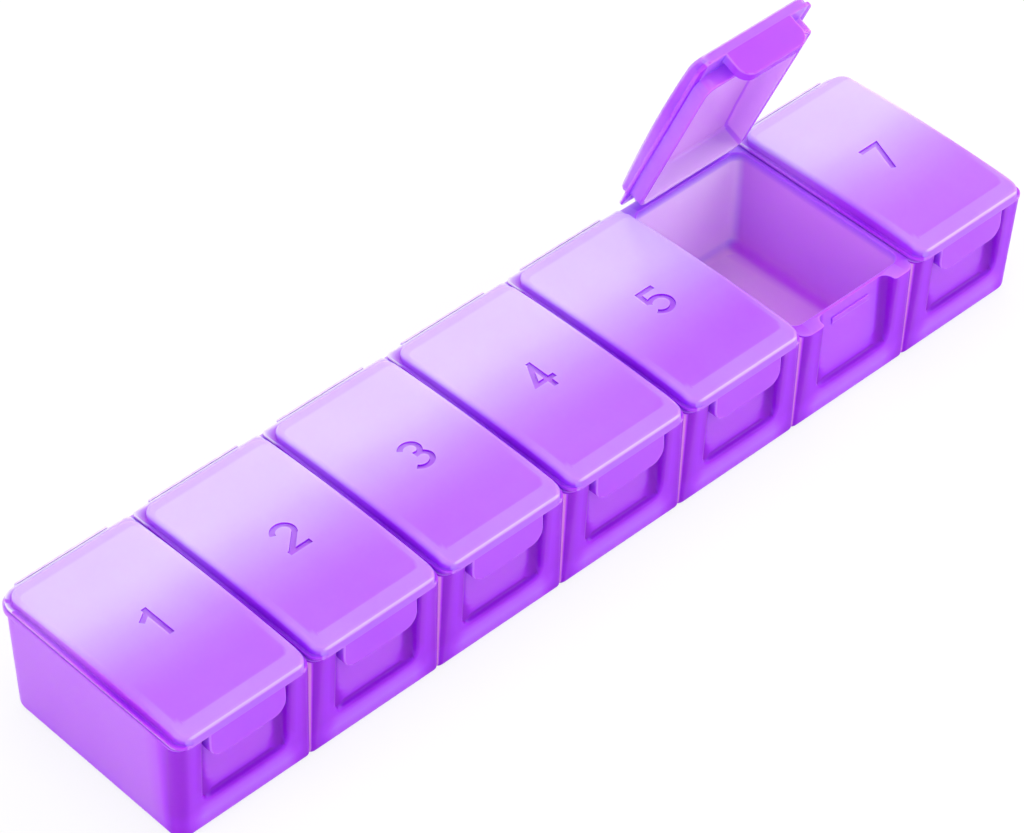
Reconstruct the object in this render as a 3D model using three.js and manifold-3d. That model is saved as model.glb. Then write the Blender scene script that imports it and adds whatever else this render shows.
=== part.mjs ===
// Seven-day pill organizer: one long tray with seven wells, and a flip-up lid for each well.
// The tray, lids and hinge strips are thin injection-moulded polypropylene.
// Units are millimetres. +Z is up, day 1 is at -X, and the thumb tabs face -Y.
// The origin is at the middle of the underside.
import * as THREE from 'three'
import { mergeVertices } from 'three/addons/utils/BufferGeometryUtils.js'
import Module from 'manifold-3d'

const wasm = await Module()
wasm.setup()

// Tray sizes
const dayCount = 7
const pitch = 31
const rimHeight = 25
const endMargin = 0.3
const trayDepth = 49.2
const frontWall = 3.6
const backWall = 1.3
const dividerWall = 1.2
const floorThickness = 1.5
const frontCornerRadius = 2.6
const backCornerRadius = 3.5
const grooveRimRadius = 2.4
const grooveFootRadius = 1
const footRadius = 1.5
const frontDraft = 1.5
const endDraft = 0.6
const backDraft = 0.5
const wellCornerRadius = 2.6
const wellFloorRadius = 2.2
const wellDraft = 0.4
const ledgeOverhang = 1.5
const ledgeThickness = 1.2

// Finger recess in front of each well, and the catch ridge in it
const recessMargin = 5.8
const recessDepth = 2.8
const recessSill = 7.7
const recessCornerRadius = 1.5
const recessFloorRadius = 2.6
const recessFillet = 2
const catchWidth = 10
const catchHeight = 2.3
const catchProud = 0.35
const catchDrop = 2.7

// Lid sizes
const openDay = 6
const openAngle = 66.5
const lidGap = 0.6
const lidSeatGap = 0.1
const flangeThickness = 0.8
const flangeCornerRadius = 1
const flangeEndRadius = 4
const lidOverhang = 0.5
const flangeSetback = 0.35
const domeInset = 0.7
const domeSetback = 1.7
const domeCornerRadius = 2.8
const domeFrontHeight = 1.4
const domeShoulderHeight = 2.3
const domeBackHeight = 1.75
const domeBulge = 0.65
const domeBevel = 3.6
const domeShoulderRadius = 1
const lidWall = 1.1
const skirtThickness = 1
const skirtHeight = 3
const skirtClearance = 0.3
const skirtCornerRadius = 3

// Thumb tab and the bead behind it
const tabWidth = 17.5
const tabThickness = 2.6
const tabDrop = 6.1
const tabCornerRadius = 3
const beadWidth = 9
const beadRadius = 0.55
const beadProud = 0.25
const beadDrop = 5.2

// Engraved day number
const numeralHeight = 8
const numeralWidth = 4.6
const numeralStroke = 1.2
const numeralDepth = 0.4
const numeralSetback = 0.2

// Hinge strip between the ledge and the flange
const hingeWidth = 21
const hingeThickness = 0.35
const hingeReach = 0.45
const hingeRise = 0.4
const hingeLoop = 0.7
const hingeEndGap = 0.3

// Modelling values
const cutOverrun = 2
const fuseOverlap = 0.05
const cornerSteps = 4
const filletSteps = 3
const archSteps = 8
const bendSteps = 8
const beadSides = 12
const numeralArcSteps = 10

// Levels and planes worked out from the sizes above; y is 0 at the front plane of the tray here
const length = dayCount * pitch + 2 * endMargin
const ledgeBack = trayDepth + ledgeOverhang
const wellBack = trayDepth - backWall
const flangeBottom = rimHeight + lidSeatGap
const flangeTop = flangeBottom + flangeThickness
const domeCrown = flangeTop + domeShoulderHeight + domeBulge
const flangeBack = ledgeBack - flangeSetback
const domeBack = flangeBack - domeSetback
const lidHalfWidth = (pitch - lidGap) / 2
const domeHalfWidth = lidHalfWidth - domeInset
const wellHalfWidth = (pitch - dividerWall) / 2
const skirtBottom = rimHeight - skirtHeight
const skirtFront = frontWall + skirtClearance
const skirtBack = wellBack - skirtClearance
const skirtHalfWidth = wellHalfWidth - skirtClearance
const tabBottom = rimHeight - tabDrop
const hingeY = ledgeBack + hingeReach
const hingeZ = rimHeight + hingeRise
const ledgeMiddle = rimHeight - ledgeThickness / 2
const flangeMiddle = (flangeBottom + flangeTop) / 2

// Solids: a closed geometry becomes a solid that can be joined and cut, and comes back as a geometry
function solidOf(geometry) {
  const bare = geometry.clone()
  bare.deleteAttribute('normal')
  bare.deleteAttribute('uv')
  const merged = mergeVertices(bare)
  const vertProperties = new Float32Array(merged.attributes.position.array)
  const triVerts = new Uint32Array(merged.index.array)
  return new wasm.Manifold(new wasm.Mesh({ numProp: 3, vertProperties, triVerts }))
}

function geometryOf(solid) {
  const mesh = solid.getMesh()
  const geometry = new THREE.BufferGeometry()
  const places = new THREE.BufferAttribute(new Float32Array(mesh.vertProperties), mesh.numProp)
  geometry.setAttribute('position', places)
  geometry.setIndex(new THREE.BufferAttribute(new Uint32Array(mesh.triVerts), 1))
  geometry.computeVertexNormals()
  return geometry
}

// A rounded rectangle at one height; radii go round from front left by front right and back right
function ring(left, right, front, back, radii, z) {
  const [frontLeft, frontRight, backRight, backLeft] = radii
  const corners = [
    [left + frontLeft, front + frontLeft, frontLeft, Math.PI],
    [right - frontRight, front + frontRight, frontRight, 1.5 * Math.PI],
    [right - backRight, back - backRight, backRight, 2 * Math.PI],
    [left + backLeft, back - backLeft, backLeft, 2.5 * Math.PI],
  ]
  const points = []
  for (const [x, y, radius, start] of corners) {
    for (let step = 0; step <= cornerSteps; step++) {
      const angle = start + (Math.PI / 2) * (step / cornerSteps)
      points.push(new THREE.Vector3(x + radius * Math.cos(angle), y + radius * Math.sin(angle), z))
    }
  }
  return points
}

function evenRing(left, right, front, back, radius, z) {
  return ring(left, right, front, back, [radius, radius, radius, radius], z)
}

// A closed body through rings listed from the lowest to the highest
function loft(rings) {
  const count = rings[0].length
  const places = rings.flat().flatMap((point) => point.toArray())
  const faces = []
  for (let level = 0; level < rings.length - 1; level++) {
    for (let i = 0; i < count; i++) {
      const next = (i + 1) % count
      const low = level * count
      const high = low + count
      faces.push(low + i, low + next, high + next, low + i, high + next, high + i)
    }
  }
  const top = (rings.length - 1) * count
  for (let i = 1; i < count - 1; i++) {
    faces.push(0, i + 1, i)
    faces.push(top, top + i, top + i + 1)
  }
  const geometry = new THREE.BufferGeometry()
  geometry.setAttribute('position', new THREE.Float32BufferAttribute(places, 3))
  geometry.setIndex(faces)
  return geometry
}

// An outline drawn in Y and Z, extruded along X and centred on x = 0
function sideExtrusion(outline, width) {
  const shape = new THREE.Shape(outline)
  const geometry = new THREE.ExtrudeGeometry(shape, { depth: width, bevelEnabled: false })
  geometry.rotateZ(Math.PI / 2)
  geometry.rotateY(Math.PI / 2)
  geometry.translate(-width / 2, 0, 0)
  return geometry
}

// Tray: the outside of one compartment, its lower edges rounded and its front corners eased
function compartmentShell(day) {
  const first = day === 1
  const last = day === dayCount
  const left = (day - 1) * pitch - (first ? endMargin : 0)
  const right = day * pitch + (last ? endMargin : 0)
  const rings = []
  const levels = [...Array(filletSteps + 1).keys()].map((step) => step / filletSteps)
  for (const share of levels) {
    const angle = share * (Math.PI / 2)
    rings.push(outerRing(footRadius * (1 - Math.cos(angle)), footRadius * (1 - Math.sin(angle))))
  }
  rings.push(outerRing(rimHeight, 0))
  return solidOf(loft(rings))

  function outerRing(z, easing) {
    const below = 1 - z / rimHeight
    const groove = grooveRimRadius + (grooveFootRadius - grooveRimRadius) * below
    const leftInset = first ? endDraft * below + easing : -fuseOverlap
    const rightInset = last ? endDraft * below + easing : -fuseOverlap
    const radii = [
      first ? frontCornerRadius : groove,
      last ? frontCornerRadius : groove,
      last ? backCornerRadius : groove,
      first ? backCornerRadius : groove,
    ]
    const front = frontDraft * below + easing
    const back = trayDepth - backDraft * below - easing
    return ring(left + leftInset, right - rightInset, front, back, radii, z)
  }
}

// Tray: the space inside one compartment, drafted, with a rounded floor edge
function wellSpace(day) {
  const middle = (day - 0.5) * pitch
  const rings = []
  for (let step = 0; step <= filletSteps; step++) {
    const angle = (step / filletSteps) * (Math.PI / 2)
    const rise = wellFloorRadius * (1 - Math.cos(angle))
    const easing = wellFloorRadius * (1 - Math.sin(angle))
    rings.push(wellRing(floorThickness + rise, wellDraft + easing))
  }
  rings.push(wellRing(rimHeight, 0))
  rings.push(wellRing(rimHeight + cutOverrun, 0))
  return solidOf(loft(rings))

  function wellRing(z, inset) {
    const half = wellHalfWidth - inset
    return evenRing(
      middle - half,
      middle + half,
      frontWall + inset,
      wellBack - inset,
      wellCornerRadius,
      z,
    )
  }
}

// Tray: the shallow recess under the thumb tab, open at the top and eased into its floor
function recessSpace(day) {
  const middle = (day - 0.5) * pitch
  const half = pitch / 2 - recessMargin
  const top = rimHeight + cutOverrun
  const rings = []
  for (let step = filletSteps; step >= 0; step--) {
    const angle = (step / filletSteps) * (Math.PI / 2)
    const sunk = recessFillet * Math.sin(angle)
    const radius = THREE.MathUtils.lerp(recessCornerRadius, recessFloorRadius, sunk / recessFillet)
    rings.push(recessRing(recessDepth - recessFillet + sunk, recessFillet * (1 - Math.cos(angle)), radius))
  }
  rings.push(recessRing(-cutOverrun, 0, recessCornerRadius))
  const geometry = loft(rings)
  geometry.rotateX(Math.PI / 2)
  return solidOf(geometry)

  function recessRing(depth, inset, radius) {
    const left = middle - half + inset
    const right = middle + half - inset
    return evenRing(left, right, recessSill + inset, top, radius, -depth)
  }
}

// Tray: the low ridge in the recess that the bead on the tab snaps past
function catchRidge(day) {
  const top = rimHeight - catchDrop
  const outline = [
    new THREE.Vector2(recessDepth + fuseOverlap, top - catchHeight),
    new THREE.Vector2(recessDepth + fuseOverlap, top),
    new THREE.Vector2(recessDepth - catchProud, top),
    new THREE.Vector2(recessDepth - catchProud, top - catchHeight / 2),
    new THREE.Vector2(recessDepth, top - catchHeight),
  ]
  const geometry = sideExtrusion(outline, catchWidth)
  geometry.translate((day - 0.5) * pitch, 0, 0)
  return solidOf(geometry)
}

// Tray: the ledge behind the wells that carries the hinge strips
function hingeLedge() {
  const radii = [flangeCornerRadius, flangeCornerRadius, flangeEndRadius, flangeEndRadius]
  const front = wellBack - backCornerRadius
  const low = ring(-endMargin, length - endMargin, front, ledgeBack, radii, rimHeight - ledgeThickness)
  const high = ring(-endMargin, length - endMargin, front, ledgeBack, radii, rimHeight)
  return solidOf(loft([low, high]))
}

function traySolid() {
  let tray = hingeLedge()
  for (let day = 1; day <= dayCount; day++) {
    tray = tray.add(compartmentShell(day))
  }
  for (let day = 1; day <= dayCount; day++) {
    tray = tray.subtract(wellSpace(day)).subtract(recessSpace(day))
  }
  for (let day = 1; day <= dayCount; day++) {
    tray = tray.add(catchRidge(day))
  }
  return tray
}

// Lid: the arched side profile of the dome from a low level up, lowered at the top for its underside
function domeProfile(low, lowered) {
  const front = -lidOverhang
  const outline = [
    new THREE.Vector2(front, low),
    new THREE.Vector2(front, flangeTop + domeFrontHeight - lowered),
  ]
  for (let step = 0; step <= archSteps; step++) {
    const share = step / archSteps
    const chord = THREE.MathUtils.lerp(domeShoulderHeight, domeBackHeight, share)
    const height = chord + 4 * domeBulge * share * (1 - share)
    const y = THREE.MathUtils.lerp(front + domeBevel, domeBack, share)
    outline.push(new THREE.Vector2(y, flangeTop + height - lowered))
  }
  outline.push(new THREE.Vector2(domeBack, low))
  return outline
}

// Lid: the dome's cross-section with its two rounded shoulders
function shoulderBlock() {
  const low = flangeBottom - cutOverrun
  const radius = domeShoulderRadius
  const shape = new THREE.Shape()
  shape.moveTo(-domeHalfWidth, low)
  shape.lineTo(domeHalfWidth, low)
  shape.lineTo(domeHalfWidth, domeCrown - radius)
  shape.absarc(domeHalfWidth - radius, domeCrown - radius, radius, 0, Math.PI / 2, false)
  shape.absarc(radius - domeHalfWidth, domeCrown - radius, radius, Math.PI / 2, Math.PI, false)
  const depth = ledgeBack + 2 * cutOverrun
  const options = { depth, bevelEnabled: false, curveSegments: filletSteps }
  const geometry = new THREE.ExtrudeGeometry(shape, options)
  geometry.rotateX(Math.PI / 2)
  geometry.translate(0, depth - cutOverrun, 0)
  return solidOf(geometry)
}

function domeSolid() {
  const low = evenRing(
    -domeHalfWidth,
    domeHalfWidth,
    -lidOverhang,
    domeBack,
    domeCornerRadius,
    flangeBottom,
  )
  const high = low.map((point) => point.clone().setZ(domeCrown))
  const side = sideExtrusion(domeProfile(flangeBottom - cutOverrun, 0), 2 * pitch)
  return solidOf(loft([low, high])).intersect(solidOf(side)).intersect(shoulderBlock())
}

// Lid: the thin flange that lies on the rim, with the full corner only at the two ends of the tray
function flangeSolid(day) {
  const radii = [
    domeCornerRadius,
    domeCornerRadius,
    day === dayCount ? flangeEndRadius : flangeCornerRadius,
    day === 1 ? flangeEndRadius : flangeCornerRadius,
  ]
  const left = -lidHalfWidth - (day === 1 ? endMargin : 0)
  const right = lidHalfWidth + (day === dayCount ? endMargin : 0)
  const low = ring(left, right, -lidOverhang, flangeBack, radii, flangeBottom)
  const high = low.map((point) => point.clone().setZ(flangeTop))
  return solidOf(loft([low, high]))
}

// Lid: the skirt that plugs the well, as its outer block
function skirtSolid() {
  const low = evenRing(
    -skirtHalfWidth,
    skirtHalfWidth,
    skirtFront,
    skirtBack,
    skirtCornerRadius,
    skirtBottom,
  )
  const high = low.map((point) => point.clone().setZ(flangeTop))
  return solidOf(loft([low, high]))
}

// Lid: the hollow under the dome and inside the skirt
function lidHollow() {
  const half = skirtHalfWidth - skirtThickness
  const front = skirtFront + skirtThickness
  const back = skirtBack - skirtThickness
  const radius = skirtCornerRadius - skirtThickness
  const bottom = skirtBottom - cutOverrun
  const low = evenRing(-half, half, front, back, radius, bottom)
  const high = low.map((point) => point.clone().setZ(domeCrown + cutOverrun))
  const side = sideExtrusion(domeProfile(bottom, lidWall), 2 * pitch)
  return solidOf(loft([low, high])).intersect(solidOf(side))
}

// Lid: the thumb tab hanging from the front edge, with the bead on its inner face
function tabSolid() {
  const half = tabWidth / 2
  const shape = new THREE.Shape()
  shape.moveTo(-half, flangeTop)
  shape.lineTo(-half, tabBottom + tabCornerRadius)
  shape.absarc(tabCornerRadius - half, tabBottom + tabCornerRadius, tabCornerRadius, Math.PI, 1.5 * Math.PI)
  shape.absarc(half - tabCornerRadius, tabBottom + tabCornerRadius, tabCornerRadius, 1.5 * Math.PI, 0)
  shape.lineTo(half, flangeTop)
  const options = { depth: tabThickness, bevelEnabled: false, curveSegments: cornerSteps }
  const plate = new THREE.ExtrudeGeometry(shape, options)
  plate.rotateX(Math.PI / 2)
  plate.translate(0, tabThickness - lidOverhang, 0)
  const bead = new THREE.CylinderGeometry(beadRadius, beadRadius, beadWidth, beadSides)
  bead.rotateZ(Math.PI / 2)
  bead.translate(0, tabThickness - lidOverhang + beadProud - beadRadius, rimHeight - beadDrop)
  return solidOf(plate).add(solidOf(bead))
}

// Numerals: centre lines in shares of the numeral's width and height, with x from the middle
function arcShares(x, y, radiusX, radiusY, from, to) {
  const points = []
  for (let step = 0; step <= numeralArcSteps; step++) {
    const angle = THREE.MathUtils.degToRad(from + ((to - from) * step) / numeralArcSteps)
    points.push([x + radiusX * Math.cos(angle), y + radiusY * Math.sin(angle)])
  }
  return points
}

const numeralShares = {
  1: [[[-0.44, 0.7], [0.04, 0.92]], [[0.1, 1.09], [0.1, -0.09]]],
  2: [[...arcShares(0, 0.71, 0.46, 0.29, 165, -32), [-0.48, 0]], [[-0.6, 0], [0.52, 0]]],
  3: [arcShares(-0.02, 0.75, 0.42, 0.25, 150, -95), arcShares(-0.02, 0.27, 0.48, 0.27, 95, -150)],
  4: [[[0.16, 1.09], [0.16, -0.09]], [[0.12, 0.96], [-0.46, 0.26], [0.54, 0.26]]],
  5: [[[0.44, 1], [-0.38, 1], [-0.42, 0.52]], arcShares(-0.04, 0.32, 0.5, 0.32, 145, -150)],
  6: [
    arcShares(0, 0.3, 0.48, 0.3, -10, 190),
    arcShares(0, 0.3, 0.48, 0.3, 170, 370),
    [[0.2, 1.05], [-0.4, 0.4]],
  ],
  7: [[[-0.52, 1], [0.46, 1], [-0.14, -0.09]]],
}

// One stroke of a numeral: its centre line widened by half the stroke on each side, corners mitred
function strokeOutline(line) {
  const sides = [[], []]
  line.forEach((point, i) => {
    const into = point.clone().sub(line[Math.max(i - 1, 0)]).normalize()
    const out = line[Math.min(i + 1, line.length - 1)].clone().sub(point).normalize()
    const along = into.clone().add(out).normalize()
    const lean = Math.max(along.dot(into), along.dot(out))
    const across = new THREE.Vector2(-along.y, along.x).multiplyScalar(numeralStroke / 2 / lean)
    sides[0].push(point.clone().add(across))
    sides[1].unshift(point.clone().sub(across))
  })
  return [...sides[0], ...sides[1]]
}

function numeralSolid(day) {
  const rise = numeralHeight - numeralStroke
  const middle = (domeBack - lidOverhang) / 2 + numeralSetback
  const roof = flangeTop + (domeShoulderHeight + domeBackHeight) / 2 + domeBulge
  let numeral = null
  for (const shares of numeralShares[day]) {
    const line = shares.map(([x, y]) => new THREE.Vector2(x * numeralWidth, middle + (y - 0.5) * rise))
    const shape = new THREE.Shape(strokeOutline(line))
    const options = { depth: cutOverrun + numeralDepth, bevelEnabled: false }
    const geometry = new THREE.ExtrudeGeometry(shape, options)
    geometry.translate(0, 0, roof - numeralDepth)
    const stroke = solidOf(geometry)
    numeral = numeral ? numeral.add(stroke) : stroke
  }
  return numeral
}

function lidSolid(day) {
  const outside = flangeSolid(day).add(domeSolid()).add(skirtSolid()).add(tabSolid())
  return outside.subtract(lidHollow()).subtract(numeralSolid(day))
}

// Hinge strip: a thin band that bends from the back of the ledge round to the back of the flange
function hingeCentreLine(angle) {
  const turn = THREE.MathUtils.degToRad(-angle)
  const pivot = new THREE.Vector2(hingeY, hingeZ)
  const flangeEnd = new THREE.Vector2(flangeBack + hingeEndGap, flangeMiddle).rotateAround(pivot, turn)
  const flangeOut = new THREE.Vector2(hingeLoop, 0).rotateAround(new THREE.Vector2(), turn)
  const start = new THREE.Vector2(ledgeBack, ledgeMiddle)
  const bend = new THREE.CubicBezierCurve(
    start,
    start.clone().add(new THREE.Vector2(hingeLoop, 0)),
    flangeEnd.clone().add(flangeOut),
    flangeEnd,
  )
  return bend
}

function hingeOutline(angle) {
  const bend = hingeCentreLine(angle)
  const sides = [[], []]
  for (let step = 0; step <= bendSteps; step++) {
    const share = step / bendSteps
    const along = bend.getTangent(share)
    const across = new THREE.Vector2(-along.y, along.x).multiplyScalar(hingeThickness / 2)
    sides[0].push(bend.getPoint(share).add(across))
    sides[1].unshift(bend.getPoint(share).sub(across))
  }
  return [...sides[0], ...sides[1]]
}

// Materials
function plastic(color, roughness) {
  return new THREE.MeshStandardMaterial({ color, roughness, metalness: 0 })
}

const trayMaterial = plastic('#a94ff2', 0.35)
const lidMaterial = plastic('#c98bff', 0.25)
const hingeMaterial = plastic('#d9b4ff', 0.4)

function named(geometry, material, name) {
  const mesh = new THREE.Mesh(geometry, material)
  mesh.name = name
  return mesh
}

// Assembly: the pieces are drawn from the tray's front left corner, then moved so that the
// middle of the underside is the origin
const organizer = new THREE.Group()
organizer.name = 'pill_organizer'
const placed = new THREE.Group()
organizer.add(placed)

placed.add(named(geometryOf(traySolid()), trayMaterial, 'tray'))

for (let day = 1; day <= dayCount; day++) {
  const middle = (day - 0.5) * pitch
  const angle = day === openDay ? openAngle : 0

  const lid = named(geometryOf(lidSolid(day)), lidMaterial, `lid_day_${day}`)
  lid.geometry.translate(0, -hingeY, -hingeZ)
  const swing = new THREE.Group()
  swing.position.set(middle, hingeY, hingeZ)
  swing.rotation.x = THREE.MathUtils.degToRad(-angle)
  swing.add(lid)
  placed.add(swing)

  const strip = solidOf(sideExtrusion(hingeOutline(angle), hingeWidth))
  const hinge = named(geometryOf(strip), hingeMaterial, `hinge_strip_day_${day}`)
  hinge.position.x = middle
  placed.add(hinge)
}

const box = new THREE.Box3().setFromObject(placed, true)
placed.position.set(-(box.min.x + box.max.x) / 2, -(box.min.y + box.max.y) / 2, -box.min.z)

export default organizer
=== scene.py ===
"""Seven-day pill organizer in tinted translucent polypropylene: one long moulded tray with seven
wells, seven numbered flip-up lids and the thin hinge film behind each lid.

Shapes are drawn in millimetres from the tray's front left corner, with y 0 at the front plane,
and then moved into the frame of the CAD model, in metres.
"""
import math

import bmesh
import bpy
from mathutils import Matrix, Vector


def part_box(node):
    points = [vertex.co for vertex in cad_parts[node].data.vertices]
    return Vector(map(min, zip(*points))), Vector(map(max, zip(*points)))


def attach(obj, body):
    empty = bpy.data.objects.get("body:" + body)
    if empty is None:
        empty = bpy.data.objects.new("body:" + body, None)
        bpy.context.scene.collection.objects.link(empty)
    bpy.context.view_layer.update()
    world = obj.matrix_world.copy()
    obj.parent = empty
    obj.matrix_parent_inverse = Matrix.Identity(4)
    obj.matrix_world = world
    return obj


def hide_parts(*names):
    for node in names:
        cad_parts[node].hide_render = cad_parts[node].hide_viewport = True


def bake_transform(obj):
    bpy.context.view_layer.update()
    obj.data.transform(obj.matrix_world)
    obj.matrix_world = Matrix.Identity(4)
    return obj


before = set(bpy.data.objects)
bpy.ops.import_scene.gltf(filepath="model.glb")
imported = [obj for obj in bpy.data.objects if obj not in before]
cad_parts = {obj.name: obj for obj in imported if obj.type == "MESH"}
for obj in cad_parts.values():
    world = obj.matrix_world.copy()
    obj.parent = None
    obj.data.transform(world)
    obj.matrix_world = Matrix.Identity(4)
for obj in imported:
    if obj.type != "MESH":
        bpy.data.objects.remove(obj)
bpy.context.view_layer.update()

MM = 0.001

# Tray sizes
DAYS = 7
PITCH = 31
RIM = 25
END_MARGIN = 0.3
TRAY_DEPTH = 49.2
FRONT_WALL = 3.6
WELL_BACK = 47.9
WELL_HALF = 14.9
FLOOR = 1.5
FRONT_CORNER = 2.6
BACK_CORNER = 3.5
GROOVE_RIM = 2.4
GROOVE_FOOT = 1
FOOT_RADIUS = 1.5
FRONT_DRAFT = 1.5
END_DRAFT = 0.6
BACK_DRAFT = 0.5
WELL_CORNER = 2.6
WELL_FLOOR_RADIUS = 2.2
WELL_DRAFT = 0.4
LEDGE_BACK = 50.7
LEDGE_FRONT = 44.4
LEDGE_LOW = 23.8
LEDGE_CORNER = 4
RIM_EASE = 0.25
WELL_EASE = 0.3

# Finger recess and catch wedge
RECESS_HALF = 9.7
RECESS_DEPTH = 2.8
RECESS_SILL = 7.7
RECESS_CORNER = 2
RECESS_FLOOR_CORNER = 5
RECESS_FILLET = 2
RECESS_EASE = 0.8
RECESS_MARGIN = 2
CATCH_WIDTH = 10
CATCH_TOP = 22.3
CATCH_HEIGHT = 2.3
CATCH_PROUD = 0.35
CATCH_SUNK = 0.5
CATCH_EASE = 0.1
CATCH_TAPER = 1.5

# Lid sizes
OPEN_DAY = 6
OPEN_ANGLE = 66.5
LID_HALF = 15.2
LID_FRONT = -0.5
FLANGE_LOW = 25.1
FLANGE_TOP = 25.9
FLANGE_BACK = 50.35
FLANGE_CORNER = 1
FLANGE_EASE = 0.2
DOME_HALF = 14.5
DOME_BACK = 48.65
DOME_CORNER = 2.8
DOME_FRONT_HEIGHT = 1.4
DOME_SHOULDER_HEIGHT = 2.3
DOME_BACK_HEIGHT = 1.75
DOME_BULGE = 0.65
DOME_BEVEL = 3.6
DOME_FRONT_ROUND = 0.55
DOME_SIDE_ROUND = 1
DOME_BACK_ROUND = 0.8
DOME_FOOT_ROUND = 0.25
ROOF_BEND = 0.15
LID_WALL = 1.1
SKIRT_HALF = 14.6
SKIRT_FRONT = 3.9
SKIRT_BACK = 47.6
SKIRT_BOTTOM = 22
SKIRT_THICK = 1
SKIRT_CORNER = 3
SKIRT_EASE = 0.3
ROOF_FILLET = 0.7
TAB_HALF = 8.75
TAB_THICK = 2.6
TAB_BOTTOM = 18.9
TAB_CORNER = 3
TAB_SET_IN = 0.02
TAB_ROOT = 26.2
TAB_EASE = 0.4
BEAD_HALF = 4.5
BEAD_RADIUS = 0.55
BEAD_Y = 1.8
BEAD_Z = 19.8

# Engraved day number
NUMERAL_HEIGHT = 8
NUMERAL_WIDTH = 4.6
NUMERAL_STROKE = 1.2
NUMERAL_DEPTH = 0.4
NUMERAL_MIDDLE = 24.275
NUMERAL_OVER = 1
NUMERAL_DRAFT = 0.06

# Hinge film
HINGE_Y = 51.15
HINGE_Z = 25.4
HINGE_WIDTH = 21
HINGE_THICK = 0.35
HINGE_LOOP = 0.7
HINGE_GAP = 0.3
LEDGE_MIDDLE = 24.4
FLANGE_MIDDLE = 25.5

# Steps of the meshes
CORNER_STEPS = 12
HALF_CORNER = CORNER_STEPS // 2
EASE_STEPS = 3
FILLET_STEPS = 6
FOOT_STEPS = 6
SIDE_STEPS = 6
BEAD_SIDES = 16
CURVE_STEPS = 24
BEND_STEPS = 16
GRID_STEP = 1.2
MERGE = 0.002
SAME_PLACE = 0.003
TINY = 1e-6
MITRE_LIMIT = 0.5
CREASE_ANGLE = 38
FILM_CREASE_ANGLE = 50
BROAD_WEIGHT = 60

# Rows and columns where the meshes need them: shares of a run, or millimetres along or across it
SILL_COLUMNS = [step / 4 for step in range(5)]
END_COLUMNS = (6, 9, 16, 26, 36, LEDGE_FRONT)
BELOW_RIM_ROW = 0.4
RECESS_FLOOR_LINES = (2.5, 3, 3.6)
WELL_ROWS = (0.1, 0.4, 0.7, 0.9)
DOME_LINES = (DOME_CORNER, 2.2, 1.9, 1.6, 1.2)
SLOPE_END_ROWS = (-0.5, -0.2, 0.1, 0.4)
DOME_BACK_ROW = 0.3

tray_low, tray_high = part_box("tray")
SHIFT = Vector(
    (tray_low.x / MM + END_MARGIN, tray_high.y / MM - LEDGE_BACK, tray_high.z / MM - RIM)
)


def quarter(steps):
    """Sine and 1 - cosine of a quarter turn in equal steps, from 0 to 90 degrees."""
    turns = [math.pi / 2 * step / steps for step in range(steps + 1)]
    return [(math.sin(turn), 1 - math.cos(turn)) for turn in turns]


EASING = quarter(EASE_STEPS)
FILLET = quarter(FILLET_STEPS)


def mix(a, b, share):
    return a + (b - a) * share


def in_scene(name, data):
    obj = bpy.data.objects.new(name, data)
    bpy.context.scene.collection.objects.link(obj)
    return obj


class Shell:
    """A mesh in the making: corners and faces in drawing millimetres, joined where corners meet."""

    def __init__(self):
        self.bm = bmesh.new()

    def row(self, points):
        return [self.bm.verts.new(point) for point in points]

    def face(self, corners):
        self.bm.faces.new(corners)

    def loft(self, rings, closed=True):
        """Faces from each ring to the next."""
        rows = [self.row(ring) for ring in rings]
        for low, high in zip(rows, rows[1:]):
            for i in range(len(low) if closed else len(low) - 1):
                j = (i + 1) % len(low)
                self.face((low[i], low[j], high[j], high[i]))
        return rows

    def plug(self, rings):
        """A loft closed by a face at each end."""
        rows = self.loft(rings)
        self.face(rows[0])
        self.face(rows[-1])
        return self

    def fill(self, loops):
        """A flat face inside the first loop and outside the others."""
        edges = []
        for loop in loops:
            corners = self.row(loop)
            edges += [self.bm.edges.new(ends) for ends in zip(corners, corners[1:] + corners[:1])]
        bmesh.ops.triangle_fill(self.bm, use_beauty=True, use_dissolve=False, edges=edges)

    def finish(self, name):
        bm = self.bm
        bmesh.ops.remove_doubles(bm, verts=bm.verts, dist=MERGE)
        bmesh.ops.dissolve_degenerate(bm, dist=MERGE / 2, edges=bm.edges)
        loose = [vert for vert in bm.verts if not vert.link_faces]
        bmesh.ops.delete(bm, geom=loose, context="VERTS")
        bmesh.ops.recalc_face_normals(bm, faces=bm.faces)
        mesh = bpy.data.meshes.new(name)
        bm.to_mesh(mesh)
        bm.free()
        return in_scene(name, mesh)


# Tray


def below_share(z):
    """0 at the rim and 1 at the foot, for what tapers in between."""
    return 1 - z / RIM


def groove_radius(z):
    return mix(GROOVE_RIM, GROOVE_FOOT, below_share(z))


def front_plane(z):
    return FRONT_DRAFT * below_share(z)


def cell_sides(day, z, easing):
    """Left and right end of one compartment's outside, with its corner radii at front and back."""
    first, last = day == 1, day == DAYS
    left = (day - 1) * PITCH
    right = day * PITCH
    if first:
        left += -END_MARGIN + END_DRAFT * below_share(z) + easing
    if last:
        right -= -END_MARGIN + END_DRAFT * below_share(z) + easing
    groove = groove_radius(z)
    front = (FRONT_CORNER if first else groove, FRONT_CORNER if last else groove)
    back = (BACK_CORNER if first else groove, BACK_CORNER if last else groove)
    return left, right, front, back


def middle_of(day):
    return (day - 0.5) * PITCH


def arc(x, y, radius, start):
    """Points of a quarter circle that runs anticlockwise from a start angle in degrees."""
    turns = [math.radians(start + 90 * step / CORNER_STEPS) for step in range(CORNER_STEPS + 1)]
    return [(x + radius * math.cos(turn), y + radius * math.sin(turn)) for turn in turns]


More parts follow.
